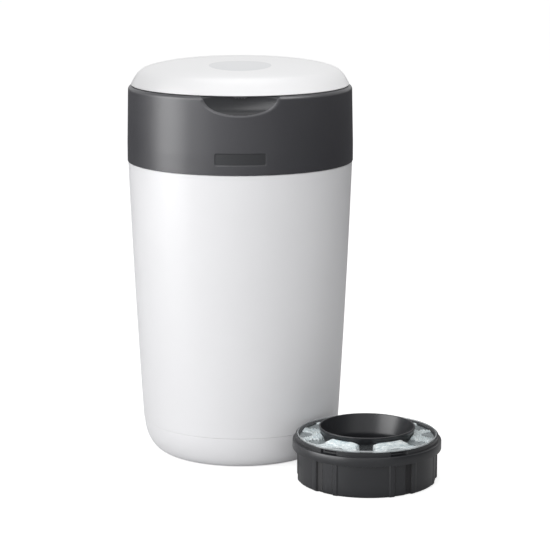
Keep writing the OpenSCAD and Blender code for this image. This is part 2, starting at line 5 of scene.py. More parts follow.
import bpy
import numpy as np
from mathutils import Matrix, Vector


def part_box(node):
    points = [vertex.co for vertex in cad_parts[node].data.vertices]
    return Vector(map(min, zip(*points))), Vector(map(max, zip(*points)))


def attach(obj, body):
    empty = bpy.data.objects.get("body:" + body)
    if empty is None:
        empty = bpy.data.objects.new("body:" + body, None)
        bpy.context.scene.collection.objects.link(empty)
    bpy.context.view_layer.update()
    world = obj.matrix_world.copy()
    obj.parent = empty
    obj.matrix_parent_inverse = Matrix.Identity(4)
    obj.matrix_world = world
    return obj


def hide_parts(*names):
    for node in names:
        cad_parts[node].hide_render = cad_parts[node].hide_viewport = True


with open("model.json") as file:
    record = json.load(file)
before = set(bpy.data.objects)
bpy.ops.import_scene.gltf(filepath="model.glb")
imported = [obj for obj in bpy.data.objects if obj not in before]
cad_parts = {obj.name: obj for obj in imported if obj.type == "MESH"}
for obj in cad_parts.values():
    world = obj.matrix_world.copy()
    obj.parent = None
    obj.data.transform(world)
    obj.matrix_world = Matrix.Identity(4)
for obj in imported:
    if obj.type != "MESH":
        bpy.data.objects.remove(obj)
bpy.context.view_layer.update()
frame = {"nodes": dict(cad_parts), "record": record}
MM = 0.001

# Camera: real place in metres, and a field of view for the square frame
CAMERA_DISTANCE = 2.3278
CAMERA_HEIGHT = 0.6572
CAMERA_PITCH = math.radians(11.270)
CAMERA_YAW = math.radians(0.928)
FOCAL_PIXELS = 2156.1
FRAME_PIXELS = 550
SENSOR_MM = 36.0

# Studio: the world's own light, how much the floor glows to the camera, the floor's size and how
# far back its middle lies, and the soft boxes as name, place, target and size in metres, and
# power in watts
WORLD_LIGHT = 0.42
FLOOR_GLOW = 0.72
FLOOR_SIZE = 14
FLOOR_BACK = 2.5
SOFT_BOXES = (
    ("key_left", (-1.55, -0.33, 0.62), (0, 0, 0.22), (1.0, 1.2), 6.5),
    ("front_fill", (-0.78, -2.1, 0.85), (0, 0, 0.2), (1.8, 1.2), 26),
    ("top", (0.0, 0.1, 2.4), (0, 0, 0.4), (1.6, 1.6), 15),
    ("lid_fill", (0.15, -2.2, 0.95), (0, 0, 0.4), (2.0, 1.2), 30),
)
# A tall strip that only glossy surfaces see: it draws the long highlight down the band's left
GLOSS_STRIP = ("gloss_strip", (-1.5, -0.5, 0.6), (0, 0, 0.3), (0.95, 1.4), 27)
# A narrower one that only the band sees: it widens that highlight
BAND_STRIP = ("band_strip", (-1.03, -1.23, 0.5), (0, 0, 0.36), (0.5, 1.0), 3.2)
# One from above and the left that only the band sees: it lights the right of the finger scoop,
# which faces it, and leaves the scoop's left dark
SCOOP_STRIP = ("scoop_strip", (-0.47, -0.95, 1.18), (0.02, -0.115, 0.39), (0.8, 1.05), 14)
# One from above and the right that only the band sees: the light line along its top edge
EDGE_STRIP = ("edge_strip", (0.9, -0.57, 1.5), (0.04, -0.1, 0.4), (0.75, 1.0), 20)
# A low one that only the cassettes see, for the sheen on their left side and along their ribs
LOW_STRIP = ("low_strip", (-0.46, -0.42, 0.2), (0.13, -0.13, 0.03), (0.65, 0.4), 4.3)

# Dark cards: name, place, length and height in metres, and turn in degrees
DARK_CARDS = (
    ("dark_card_back", (0, 0.95, 0.22), 4.0, 0.46, 0),
    ("dark_card_right", (0.9, -0.2, 0.22), 2.3, 0.46, 90),
)

# The tub, in millimetres
TUB_H = 321.8
TUB_R = 121.7
TUB_BOW = 0.85
TUB_WALL = 2.4
CREASE_R = 108.0
CREASE_Z = 36.0
CREASE_STEP = 0.8
BASE_FLAT_R = 83.0
FLOOR_T = 3.6
# Groove in the underside: its radii and its depth
FOOT_GROOVE = (68.0, 76.0, 1.2)
# Bead inside the rim: its width and height, its edges, and where it has run out below the rim
RIM_BEAD = 5.4
RIM_BEAD_H = 4.8
RIM_EDGE_OUT = 0.5
RIM_EDGE_IN = 0.6
RIM_BELOW = 9.0
# Innermost radius of a turned skin, which must not reach the axis
AXIS_R = 0.02
# Steps round the largest turned skins
FINE_TURN = 320

# The head band: it stands straight at first, then leans in to the round of its top edge
GAP = 0.3
BAND_Z = TUB_H + GAP
BAND_TOP = BAND_Z + 81.5
BAND_R = TUB_R + 0.8
BAND_TOP_R = BAND_R - 1.3
BAND_STRAIGHT = 20.4
BAND_WALL = 2.5
BAND_ROUND = 4.2
BAND_ROUND_Z = BAND_TOP - BAND_ROUND
BAND_ROUND_LEAST = 0.9
WELL_R = BAND_TOP_R - 13.2
WELL_FLOOR = BAND_TOP - 7.1
LEDGE_T = 2.5

# Rows of mesh up its wall, as start, end and count: dense across the recess and the scoop
BAND_ROWS = ((BAND_Z + 0.5, 331, 6), (331, 346, 44), (346, 382, 14), (382, BAND_ROUND_Z, 36))

# The finger scoop: a barrel lying along X, in front of the band. The scoop's width, depth, middle
# and reach below its middle give how far outside the band the barrel's axis lies, its radius and
# its axis, and the sweep that thins it to nothing at the scoop's ends
SCOOP_W = 82.0
SCOOP_D = 10.0
SCOOP_Z = BAND_TOP - 0.6
SCOOP_V = 19.5
SCOOP_E = (SCOOP_V ** 2 - SCOOP_D ** 2) / (2 * SCOOP_D)
SCOOP_R = SCOOP_E + SCOOP_D
SCOOP_Y = BAND_TOP_R + SCOOP_E
SCOOP_EDGE = SCOOP_Y - math.sqrt(BAND_TOP_R ** 2 - SCOOP_W ** 2 / 4)
SCOOP_DROP = SCOOP_R - SCOOP_EDGE
SCOOP_SWEEP = (SCOOP_W ** 2 / 4 + SCOOP_DROP ** 2) / (2 * SCOOP_DROP)
SCOOP_LIP = 0.5
# The scoop lies in front of this
SCOOP_BEFORE = -100.0
# Radius far outside the band, where the barrel cuts nothing
NO_CUT = 140.0

# The plain panel recess
PANEL_W = 53.5
PANEL_H = 12.4
PANEL_Z = BAND_Z + 16.5
PANEL_D = 0.5
PANEL_CORNER = 2.0
PANEL_SLOPE = 1.0

# The lid
LID_Z = BAND_TOP + 0.5
LID_R = BAND_TOP_R - 2.8
LID_LEAN = 5.6
LID_SKIRT = 10.8
LID_H = 26.6
LID_WALL = 2.4
# The crown's curve, and the share of its radius at which the shoulder takes over
CROWN_POWERS = (3.4, 0.6)
CROWN_SHARE = 0.9
DISC_R = 33.0
DISC_FORWARD = 51.0
DISC_PROUD = 0.12

# Hinges at the rear: the head's, below the band, and the lid's, above it
HINGE_R = 4.0
HEAD_HINGE_Y = BAND_R + 5
HEAD_HINGE_Z = BAND_Z - 4.6
HEAD_KNUCKLE = 33.6
HEAD_KNUCKLE_RISE = 26.0
HEAD_EAR = (34.0, 42.0)
HEAD_EAR_DROP = 15.0
LID_HINGE_Y = BAND_TOP_R + 0.3
LID_HINGE_Z = LID_Z + HINGE_R + 0.1
LID_KNUCKLE = 22.0
LID_EAR = (22.4, 30.0)
LID_EAR_FOOT = 24.0
# How deep the roots of ears and knuckles are seated in the round wall
TUB_SEAT = 1.6
BAND_SEAT = 1.2

# The cassette, with its underside at height 0: wall, ring, rim, bore, mouth and funnel
CAS_R = 73.3
CAS_WALL = 1.8
CAS_RING_R = 78.4
CAS_RING_Z = 34.8
CAS_RING_TOP = CAS_RING_Z + 9.6
CAS_RIM_R = 75.2
CAS_RIM_Z = 49.3
CAS_BORE_R = 41.0
CAS_MOUTH_R = 50.7
CAS_H = 58.0
CAS_FUNNEL_Z = 38.0
# Pairs of features on its wall: how many, where the first has its middle, and each feature as
# start and end, in degrees either side of that middle, and how far it stands out
CAS_PAIRS = 3
CAS_PAIR_AT = -6.0
CAS_RIB = (21.5, 26.0, 1.2)
CAS_FLUTE = (26.5, 36.5, -0.7)
CAS_KEYWAY = (36.5, 42.5, -1.5)
CAS_EDGE = (42.5, 46.5, 0.48)
CAS_WINDOW = (22.0, 36.0, -2.3)
CAS_TONGUE = (20.0, 33.5, -0.4)
CAS_TONGUE_H = 1.6
# How softly they start and end, in degrees on the wall and on the rim, and in mm up the rim
CAS_EASE = (0.7, 0.6, 0.3)
FITTED_PLACE = (0.0, 0.0, BAND_Z + 6.9)
SPARE_PLACE = tuple((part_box("spare_cassette_cover")[0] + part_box("spare_cassette_cover")[1])[i]
                    / 2 / MM for i in (0, 1)) + (0.0,)

# The film, in millimetres and degrees: six lobes, the first at FILM_LOBE_AT, with a hollow each at
# the outer edge, given as its distance out, half width and half length
FILM_LOBES = 6
FILM_SPREAD = 360 / FILM_LOBES
FILM_LOBE_AT = -64.0
FILM_LOBE_HALF = 20.5
FILM_HOLLOW = (71.0, 11.0, 13.5)
FILM_EDGE = 70.6
# Waves of a lobe's ragged sides: size in degrees, turn per millimetre, and share of its phase
FILM_RAGGED = ((1.3, 0.55, 1), (0.9, 1.7, 2))
# Heights: of its lowest level, of lobes and shaded gaps above that, and how far slits go down
FILM_Z = 41.5
FILM_LOBE_H = 5.6
FILM_GAP_H = 4.6
FILM_SLIT = 19.0
# Half width of the front gap, where the slits beside the rear gaps start, their width, and the
# size and number per millimetre of the teeth along both
FILM_FRONT_HALF = 9.0
FILM_SLIT_AT = 111.0
FILM_SLIT_W = 1.6
FILM_TOOTH = (1.6, 0.22)
# The front, in degrees either side of the front gap, where gathered film stands up most
FILM_FRONT = 56.0
# The pleats pressed against tube and wall: their lowest and highest fold, number and depth
PLEAT_Z = (2.4, 18.0)
PLEATS = 22
PLEAT_D = 0.7

# Patterns in the finishes, in millimetres: clouds in plastic and how much darker they are, lines
# on drawn steel along X, Y and Z, the waves of clear sheet, and the film's layers and creases
CLOUD_MM = 1000 / 14
CLOUD_TINT = 0.04
DRAW_LINES_MM = (25, 1000 / 900, 1000 / 900)
SHEET_WAVE_MM = 1000 / 60
FILM_LAYERS_MM = 1000 / 120
FILM_CREASES_MM = 1000 / 110


def linear(colour):
    """An sRGB hex value as linear RGBA."""
    parts = [int(colour[i:i + 2], 16) / 255 for i in (1, 3, 5)]
    return [c / 12.92 if c <= 0.04045 else ((c + 0.055) / 1.055) ** 2.4 for c in parts] + [1.0]


def add(tree, kind, links=None, **settings):
    """Adds one node to a tree, with its settings, its socket values and the links into it."""
    made = tree.nodes.new(kind)
    for key, value in settings.items():
        if hasattr(made, key):
            setattr(made, key, value)
        else:
            made.inputs[key.replace("_", " ")].default_value = value
    for socket, source in (links or {}).items():
        tree.links.new(source, made.inputs[socket])
    return made


def per_mm(period):
    """The scale of a texture whose pattern repeats after so many millimetres."""
    return 1 / (period * MM)


def new_material(name):
    """A material without nodes, and its tree."""
    material = bpy.data.materials.new(name)
    material.use_nodes = True
    material.node_tree.nodes.clear()
    return material, material.node_tree


def moulded_plastic(name, colour, rough, grain_mm, grain_depth_mm, ior=1.49):
    """Injection-moulded plastic: an even skin with the mould's fine spark grain in it, which the
    eye reads as a soft sheen, and a faint cloudiness in colour and gloss."""
    material, tree = new_material(name)
    place = add(tree, "ShaderNodeTexCoord")
    cloud = add(tree, "ShaderNodeTexNoise", {"Vector": place.outputs["Object"]},
                Scale=per_mm(CLOUD_MM), Detail=3.0, Roughness=0.5)
    grain = add(tree, "ShaderNodeTexNoise", {"Vector": place.outputs["Object"]},
                Scale=per_mm(grain_mm), Detail=2.0, Roughness=0.6)
    base = linear(colour)
    shade = add(tree, "ShaderNodeMix", {"Factor": cloud.outputs["Fac"]}, data_type="RGBA")
    shade.inputs["A"].default_value = [c * (1 - CLOUD_TINT) for c in base[:3]] + [1.0]
    shade.inputs["B"].default_value = base
    gloss = add(tree, "ShaderNodeMapRange", {"Value": cloud.outputs["Fac"]},
                From_Min=0.3, From_Max=0.7, To_Min=rough * 0.94, To_Max=rough * 1.06)
    bump = add(tree, "ShaderNodeBump", {"Height": grain.outputs["Fac"]},
               Strength=0.25, Distance=grain_depth_mm * MM)
    shader = add(tree, "ShaderNodeBsdfPrincipled",
                 {"Base Color": shade.outputs["Result"], "Roughness": gloss.outputs["Result"],
                  "Normal": bump.outputs["Normal"]}, IOR=ior)
    add(tree, "ShaderNodeOutputMaterial", {"Surface": shader.outputs["BSDF"]})
    return material


def drawn_steel(name, colour, rough):
    """Drawn or rolled steel: metallic, with fine lines along the draw that stretch its gloss."""
    material, tree = new_material(name)
    place = add(tree, "ShaderNodeTexCoord")
    along = add(tree, "ShaderNodeMapping", {"Vector": place.outputs["Object"]})
    along.inputs["Scale"].default_value = [per_mm(period) for period in DRAW_LINES_MM]
    lines = add(tree, "ShaderNodeTexNoise", {"Vector": along.outputs["Vector"]},
                Scale=1.0, Detail=2.0)
    gloss = add(tree, "ShaderNodeMapRange", {"Value": lines.outputs["Fac"]},
                To_Min=rough * 0.8, To_Max=rough * 1.25)
    shader = add(tree, "ShaderNodeBsdfPrincipled", {"Roughness": gloss.outputs["Result"]},
                 Metallic=1.0)
    shader.inputs["Base Color"].default_value = linear(colour)
    add(tree, "ShaderNodeOutputMaterial", {"Surface": shader.outputs["BSDF"]})
    return material


def clear_sheet(name, colour, cover):
    """Thermoformed clear sheet: smooth, a little smoky against the dark, with a slight waviness
    that breaks up what it reflects."""
    material, tree = new_material(name)
    place = add(tree, "ShaderNodeTexCoord")
    wave = add(tree, "ShaderNodeTexNoise", {"Vector": place.outputs["Object"]},
               Scale=per_mm(SHEET_WAVE_MM), Detail=1.0)
    bump = add(tree, "ShaderNodeBump", {"Height": wave.outputs["Fac"]},
               Strength=0.2, Distance=0.3 * MM)
    shader = add(tree, "ShaderNodeBsdfPrincipled", {"Normal": bump.outputs["Normal"]},
                 Roughness=0.12, IOR=1.5, Alpha=cover)
    shader.inputs["Base Color"].default_value = linear(colour)
    add(tree, "ShaderNodeOutputMaterial", {"Surface": shader.outputs["BSDF"]})
    return material


def thin_film(name, shadow, light):
    """Blown polyethylene film, folded many times: milky, with streaks where layers lie on each
    other and sharp little creases that catch the light."""
    material, tree = new_material(name)
    place = add(tree, "ShaderNodeTexCoord")
    along = add(tree, "ShaderNodeMapping", {"Vector": place.outputs["Object"]})
    along.inputs["Scale"].default_value = (1.0, 1.0, 2.5)
    layers = add(tree, "ShaderNodeTexNoise", {"Vector": along.outputs["Vector"]},
                 Scale=per_mm(FILM_LAYERS_MM), Detail=5.0, Roughness=0.7, Distortion=1.4)
    creases = add(tree, "ShaderNodeTexVoronoi", {"Vector": place.outputs["Object"]},
                  feature="DISTANCE_TO_EDGE", Scale=per_mm(FILM_CREASES_MM))
    spread = add(tree, "ShaderNodeMapRange", {"Value": layers.outputs["Fac"]},
                 From_Min=0.35, From_Max=0.62)
    shade = add(tree, "ShaderNodeMix", {"Factor": spread.outputs["Result"]}, data_type="RGBA")
    shade.inputs["A"].default_value = linear(shadow)
    shade.inputs["B"].default_value = linear(light)
    bump = add(tree, "ShaderNodeBump", {"Height": creases.outputs["Distance"]},
               Strength=0.4, Distance=0.6 * MM)
    shader = add(tree, "ShaderNodeBsdfPrincipled",
                 {"Base Color": shade.outputs["Result"], "Normal": bump.outputs["Normal"]},
                 Roughness=0.25, IOR=1.51)
    add(tree, "ShaderNodeOutputMaterial", {"Surface": shader.outputs["BSDF"]})
    return material


FINISH = {
    # Polypropylene, moulded with a fine spark grain: a satin white that never glares
    "tub_white": moulded_plastic("polypropylene_satin_white", "#e6e6e8", 0.42, 0.5, 0.05),
    # The same plastic from a polished mould: whiter, with a clean sheen
    "lid_white": moulded_plastic("polypropylene_gloss_white", "#eeeeef", 0.32, 0.6, 0.02),
    # ABS from a lightly grained mould: charcoal with a broad, soft highlight
    "band_charcoal": moulded_plastic("abs_satin_charcoal", "#343438", 0.37, 0.45, 0.05),
    # ABS for parts that are seldom seen: plain, duller
    "mechanism_grey": moulded_plastic("abs_plain_grey", "#9b9da1", 0.45, 0.6, 0.04),
    "mechanism_dark": moulded_plastic("abs_plain_dark", "#35363a", 0.45, 0.6, 0.04),
    # Acetal, which springs and slides: its own off-white, a little waxy
    "acetal_natural": moulded_plastic("acetal_natural", "#dcdcd6", 0.34, 0.6, 0.03, ior=1.48),
    # ABS from a polished mould: the ring that a hand turns
    "twist_ring_white": moulded_plastic("abs_gloss_white", "#e4e6e8", 0.28, 0.6, 0.02, ior=1.54),
    # Polypropylene, thin-walled: near black, with a greasy sheen along its ribs
    "cassette_charcoal": moulded_plastic("polypropylene_charcoal", "#242528", 0.33, 0.6, 0.03),
    # Thermoplastic rubber: dark, and matt enough to swallow highlights
    "seal_rubber": moulded_plastic("thermoplastic_rubber", "#2a2a2c", 0.6, 0.4, 0.05, ior=1.5),
    # PET sheet over the film: grey against the dark cassette, clear over pale film
    "cover_clear": clear_sheet("clear_pet_sheet", "#bcc2c5", 0.06),
    # Polyethylene film: pale blue-white in many layers
    "film_pale_blue": thin_film("polyethylene_film_pale_blue", "#c3d3d8", "#f8fdfd"),
    # Drawn steel of pins, screws and blade, and the wire of the springs
    "steel": drawn_steel("drawn_steel", "#b4b4b6", 0.3),
    "spring_steel": drawn_steel("spring_wire_steel", "#8e8f92", 0.35),
}
# The cover's raised edge, painted paler and less clear than the sheet: a painted highlight, the
# thin pale line where the sheet is seen end on
COVER_EDGE_HIGHLIGHT = clear_sheet("clear_pet_edge_painted_highlight", "#cfd4d6", 0.55)
# The floors of the cassette's keyways: the same plastic made rougher, and painted almost black as
# painted shade for the shade that falls in the grooves
KEYWAY_PAINTED_SHADE = moulded_plastic("polypropylene_charcoal_painted_shade", "#19191b", 0.6, 0.6, 0.08)
# The same film painted greyer in the gaps and hollows between the lobes: painted shade, darker than
# the film on the lobes
FILM_PAINTED_SHADE = thin_film("polyethylene_film_in_shade", "#7c8486", "#a3abad")
# The floor and edge of the band's recess: the same plastic, darker and duller than the band
PANEL_CHARCOAL = moulded_plastic("abs_satin_dark_charcoal", "#212225", 0.48, 0.45, 0.05, ior=1.42)
# The dish of the finger scoop: polished, so it mirrors the dark under the lid and one bright side,
# and painted darker than the band as painted shade for the shade under the lid
SCOOP_PAINTED_SHADE = moulded_plastic("abs_gloss_charcoal_painted_shade", "#212225", 0.25, 0.45, 0.02, ior=1.36)
# The lid's plain disc: the lid's plastic, a shade greyer
DISC_GREY = moulded_plastic("polypropylene_gloss_pale_grey", "#dcdddf", 0.3, 0.6, 0.02)


def dress_cad_nodes():
    """Gives every CAD node the finish of its material slot."""
    for part in frame["record"]["subparts"]:
        obj = frame["nodes"][part["node"]]
        obj.data.materials.clear()
        obj.data.materials.append(FINISH[part["material_slot"]])


def mesh_object(name, points, faces, finish, smooth_deg=35):
    """A smooth shaded piece with this finish, sharp where its faces turn by more degrees."""
    mesh = bpy.data.meshes.new(name)
    mesh.from_pydata([tuple(p) for p in points], [], faces)
    mesh.update()
    mesh.materials.append(FINISH[finish])
    mesh.shade_smooth()
    mesh.set_sharp_from_angle(angle=math.radians(smooth_deg))
    obj = bpy.data.objects.new(name, mesh)
    bpy.context.scene.collection.objects.link(obj)
    return obj


def second_finish(obj, material):
    """Gives a piece one more material, and returns its index for the faces that take it."""
    obj.data.materials.append(material)
    return len(obj.data.materials) - 1


def loft(name, rings, finish, smooth_deg=35):
    """A closed skin through rings[i][j]: i goes round the Z axis, j along a closed profile."""
    count, length = rings.shape[:2]
    index = np.arange(count * length).reshape(count, length)
    right = np.roll(index, -1, 0)
    faces = np.stack([index, right, np.roll(right, -1, 1), np.roll(index, -1, 1)], -1)
    return mesh_object(name, rings.reshape(-1, 3) * MM, faces.reshape(-1, 4).tolist(), finish,
                       smooth_deg)


def around(angle, r, z):
    """Points about the Z axis from a column of directions, and radii and heights for each."""
    return np.stack([r * np.cos(angle), r * np.sin(angle), z], -1)


def directions(count):
    """A column of directions, evenly all round."""
    return np.linspace(0, 2 * math.pi, count, endpoint=False)[:, None]


def revolve(name, profile, finish, count=256, smooth_deg=35):
    """A closed (r, z) profile that never reaches the axis, turned about the Z axis."""
    turn = directions(count)
    profile = np.array(profile)[None, :]
    return loft(name, around(turn, profile[:, :, 0], profile[:, :, 1] + 0 * turn), finish,
                smooth_deg)


def rounded_corner(before, corner, after, radius, steps=5):
    """Points of an arc that replaces a corner of a profile."""
    before, corner, after = (np.array(p, float) for p in (before, corner, after))
    u = (before - corner) / np.linalg.norm(before - corner)
    v = (after - corner) / np.linalg.norm(after - corner)
    half = math.acos(max(-1.0, min(1.0, float(u @ v)))) / 2
    centre = corner + (u + v) / np.linalg.norm(u + v) * radius / math.sin(half)
    start = corner + u * radius / math.tan(half)
    end = corner + v * radius / math.tan(half)
    a = start - centre
    b = end - centre
    sweep = math.acos(max(-1.0, min(1.0, float(a @ b) / radius ** 2)))
    return [centre + (a * math.sin((1 - t) * sweep) + b * math.sin(t * sweep)) / math.sin(sweep)
            for t in np.linspace(0, 1, steps)]


def soften(profile, radii, steps=5):
    """Rounds the corners of a closed profile; radii holds one radius per point, 0 for none."""
    out = []
    count = len(profile)
    for i, radius in enumerate(radii):
        if radius:
            out += rounded_corner(profile[i - 1], profile[i], profile[(i + 1) % count], radius,
                                  steps)
        else:
            out.append(np.array(profile[i], float))
    return out


def swept(name, stations, outline_at, finish, soft):
    """A closed (y, z) outline run along X through the stations; soft rounds its edges, in mm."""
    points = []
    faces = []
    for x in stations:
        points += [(x * MM, y * MM, z * MM) for y, z in outline_at(x)]
    count = len(points) // len(stations)
    for start in range(0, len(points) - count, count):
        for i in range(count):
            j = (i + 1) % count
            faces.append([start + i, start + j, start + count + j, start + count + i])
    faces.append(list(range(count - 1, -1, -1)))
    faces.append(list(range(len(points) - count, len(points))))
    piece = mesh_object(name, points, faces, finish)
    bevel = piece.modifiers.new("soft_edges", "BEVEL")
    bevel.width = soft * MM
    bevel.segments = 3
    bevel.limit_method = "ANGLE"
    bevel.angle_limit = math.radians(50)
    bevel.harden_normals = True
    return piece


def arc(y, z, radius, start, end, steps=16):
    """Points of an arc in the YZ plane, from start to end degrees."""
    return [(y + radius * math.cos(math.radians(a)), z + radius * math.sin(math.radians(a)))
            for a in np.linspace(start, end, steps)]


def chord(radius, x):
    """How far back a round wall of this radius lies at x."""
    return math.sqrt(radius ** 2 - x ** 2)


def tub_radius(share):
    """Radius of the tub's outside at a share of the height from its crease to its rim."""
    return CREASE_R + (TUB_R - CREASE_R) * share + TUB_BOW * 4 * share * (1 - share)


def make_tub():
    """The tub: rounded foot, crease, bowed wall, beaded rim and closed floor in one skin."""
    foot = [(BASE_FLAT_R + (CREASE_R - CREASE_STEP - BASE_FLAT_R) * math.sin(a),
             CREASE_Z * (1 - math.cos(a))) for a in np.linspace(0, math.pi / 2, 32)]
    low = CREASE_Z + CREASE_STEP
    side = [(tub_radius(t), low + (TUB_H - low) * t) for t in np.linspace(0, 1, 64)]
    bead = [(TUB_R - RIM_EDGE_OUT, TUB_H), (TUB_R - RIM_BEAD + RIM_EDGE_IN, TUB_H),
            (TUB_R - RIM_BEAD, TUB_H - RIM_EDGE_IN), (TUB_R - RIM_BEAD, TUB_H - RIM_BEAD_H)]
    top_share = 1 - RIM_BELOW / (TUB_H - CREASE_Z)
    inside = [(tub_radius(t) - TUB_WALL, low + (TUB_H - low) * t)
              for t in np.linspace(top_share, 0, 48)]
    foot_inside = [(r - TUB_WALL * math.sin(a), z + TUB_WALL * math.cos(a)) for (r, z), a in
                   zip(foot[::-1], np.linspace(math.pi / 2, 0, 32))]
    near, far, depth = FOOT_GROOVE
    profile = ([(AXIS_R, 0), (near, 0), (near + 1, depth), (far - 1, depth), (far, 0)] + foot
               + side[:-1] + [(TUB_R, TUB_H - RIM_EDGE_OUT)] + bead + inside + foot_inside
               + [(BASE_FLAT_R, FLOOR_T), (AXIS_R, FLOOR_T)])
    shell = revolve("tub_shell", profile, "tub_white", count=FINE_TURN, smooth_deg=24)
    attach(shell, "tub")
    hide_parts("tub")


def tub_ear(x):
    """Outline of an ear that rises from the tub's rear wall to the head's pin."""
    root = chord(TUB_R - TUB_SEAT, x)
    return ([(root, HEAD_HINGE_Z - HEAD_EAR_DROP)]
            + arc(HEAD_HINGE_Y, HEAD_HINGE_Z, HINGE_R, -70, 90)
            + [(root, HEAD_HINGE_Z + HINGE_R)])


def make_tub_ears():
    """The two ears at the tub's rear that hold the head's pin."""
    for side in (-1, 1):
        spans = sorted(side * x for x in np.linspace(*HEAD_EAR, 3))
        ear = swept("tub_ear_left" if side < 0 else "tub_ear_right", spans, tub_ear,
                    "tub_white", 0.6)
        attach(ear, "tub")
        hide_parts("tub")


def smooth_min(a, b, k):
    """The lesser of a and b, blended over k where they meet."""
    h = np.clip(0.5 + 0.5 * (b - a) / k, 0, 1)
    return b + (a - b) * h - k * h * (1 - h)


def band_radius(angle, height):
    """Radius of the band's outside, with the scoop and the panel recess let into it."""
    plain = np.interp(height, [BAND_Z, BAND_Z + BAND_STRAIGHT, BAND_ROUND_Z],
                      [BAND_R, BAND_R - 0.05, BAND_TOP_R]) + 0 * angle
    front = -np.sin(angle)
    toward = np.maximum(front, 0.2)
    scoop = np.full_like(plain, BAND_TOP_R)
    # The barrel's size depends on x, and x on the radius found, so this closes in on it
    for _ in range(8):
        x = scoop * np.cos(angle)
        inside = np.clip(SCOOP_SWEEP ** 2 - x ** 2, 0, None)
        barrel = SCOOP_R - SCOOP_SWEEP + np.sqrt(inside)
        reach = barrel ** 2 - (height - SCOOP_Z) ** 2
        scoop = np.where((reach > 0) & (barrel > 0),
                         (SCOOP_Y - np.sqrt(np.clip(reach, 0, None))) / toward, NO_CUT)
    scoop = np.where(front > 0.75, scoop, NO_CUT)
    skin = smooth_min(plain, scoop, SCOOP_LIP * 2)
    skin = np.where(scoop > plain + 6, plain, skin)
    sink = np.clip(0.5 - panel_edge(angle, height) / PANEL_SLOPE, 0, 1)
    return skin - PANEL_D * sink * sink * (3 - 2 * sink)


def panel_edge(angle, height):
    """Distance to the edge of the recess, a rectangle with round corners; negative inside it."""
    across = np.abs((angle + math.pi / 2) * BAND_R) - (PANEL_W / 2 - PANEL_CORNER)
    up = np.abs(height - PANEL_Z) - (PANEL_H / 2 - PANEL_CORNER)
    return (np.hypot(np.maximum(across, 0), np.maximum(up, 0))
            + np.minimum(np.maximum(across, up), 0) - PANEL_CORNER)


def band_directions():
    """Directions of the band's mesh, dense at the front, as a column starting beside the scoop."""
    front = math.radians(28)
    near = np.linspace(-front, front, 260)
    far = np.linspace(front, 2 * math.pi - front, 241)[1:-1]
    return (np.concatenate([near, far]) - math.pi / 2)[:, None]


def band_inside():
    """Well, ledge and inside of the band, as a profile from its top edge to its foot."""
    return np.array(soften(
        [(WELL_R, BAND_TOP), (WELL_R, WELL_FLOOR), (WELL_R + LEDGE_T, WELL_FLOOR),
         (WELL_R + LEDGE_T, BAND_TOP - LEDGE_T), (BAND_TOP_R - BAND_WALL - 2, BAND_TOP - LEDGE_T),
         (BAND_TOP_R - BAND_WALL, BAND_ROUND_Z - 1), (BAND_R - BAND_WALL, BAND_Z),
         (BAND_R, BAND_Z)], [0.6, 0.4, 0, 0, 0, 0, 0.4, 0.4], 4))


def make_band():
    """The band in one skin: wall, top edge, well and inside. Recess and scoop have their own
    finish."""
    angle = band_directions()
    flat = 0 * angle
    wall_z = np.concatenate([np.linspace(*row)[:-1] for row in BAND_ROWS] + [[BAND_ROUND_Z]])
    wall_z = wall_z[None, :] + flat
    wall = band_radius(angle, wall_z)
    # The top edge is a wide round that narrows where the scoop runs under it
    at_top = band_radius(angle, np.full((1, 1), BAND_TOP - 0.5))
    narrowed = np.clip((BAND_TOP_R - at_top) / 6, 0, 1)
    round_r = BAND_ROUND + (BAND_ROUND_LEAST - BAND_ROUND) * narrowed
    quarter = np.linspace(0, math.pi / 2, 9)[None, :]
    start_z = BAND_TOP - round_r
    top_z = start_z + round_r * np.sin(quarter)
    top_r = band_radius(angle, top_z) - round_r * (1 - np.cos(quarter))
    lift = np.linspace(0, 1, 6)[None, 1:-1]
    rise_z = BAND_ROUND_Z + (start_z - BAND_ROUND_Z) * lift
    rise_r = band_radius(angle, rise_z)
    inner = band_inside()
    inner_r = inner[None, :, 0] + flat
    inner_z = inner[None, :, 1] + flat
    # In the scoop the hidden skin follows the dish
    follow = np.minimum(inner_r, band_radius(angle, inner_z) - 2.3)
    hidden = (inner_z < BAND_TOP - LEDGE_T + 0.1) & (inner_z > BAND_Z + 40) & (inner_r > WELL_R + 3)
    inner_r = np.where(hidden, follow, inner_r)
    r = np.concatenate([wall, rise_r, top_r, inner_r], 1)
    z = np.concatenate([wall_z, rise_z, top_z, inner_z], 1)
    band = loft("band_shell", around(angle, r, z), "band_charcoal", smooth_deg=30)
    panel = second_finish(band, PANEL_CHARCOAL)
    dish = second_finish(band, SCOOP_PAINTED_SHADE)
    for face in band.data.polygons:
        x, y, height = face.center / MM
        out = math.hypot(x, y)
        on_skin = y < 0 and out > BAND_R - BAND_WALL / 2
        if on_skin and panel_edge(math.atan2(y, x), height) < 0.3:
            face.material_index = panel
        # Faces of the scoop's dish take the painted shade
        above = abs(x) < SCOOP_W / 2 and height > BAND_TOP - SCOOP_V - 2
        if above and y < SCOOP_BEFORE and WELL_R + 3 < out < BAND_TOP_R - 1.2:
            face.material_index = dish
    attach(band, "head")
    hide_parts("head_shell")
    return band


def head_knuckle(x):
    """Outline of the wide knuckle: a barrel whose back runs up into the band."""
    low = HEAD_HINGE_Z + 1
    under = BAND_Z + 1.5
    root = chord(BAND_R - BAND_SEAT, x)
    near = BAND_R - BAND_SEAT / 2
    reach = HEAD_HINGE_Y + HINGE_R - near
    back = [(max(near + reach * (1 - t) ** 2, root + 0.4), low + HEAD_KNUCKLE_RISE * t * t)
            for t in np.linspace(0, 1, 14)]
    return (arc(HEAD_HINGE_Y, HEAD_HINGE_Z, HINGE_R, 180, 360) + back
            + [(root, low + HEAD_KNUCKLE_RISE), (root, under), (HEAD_HINGE_Y - HINGE_R, under)])


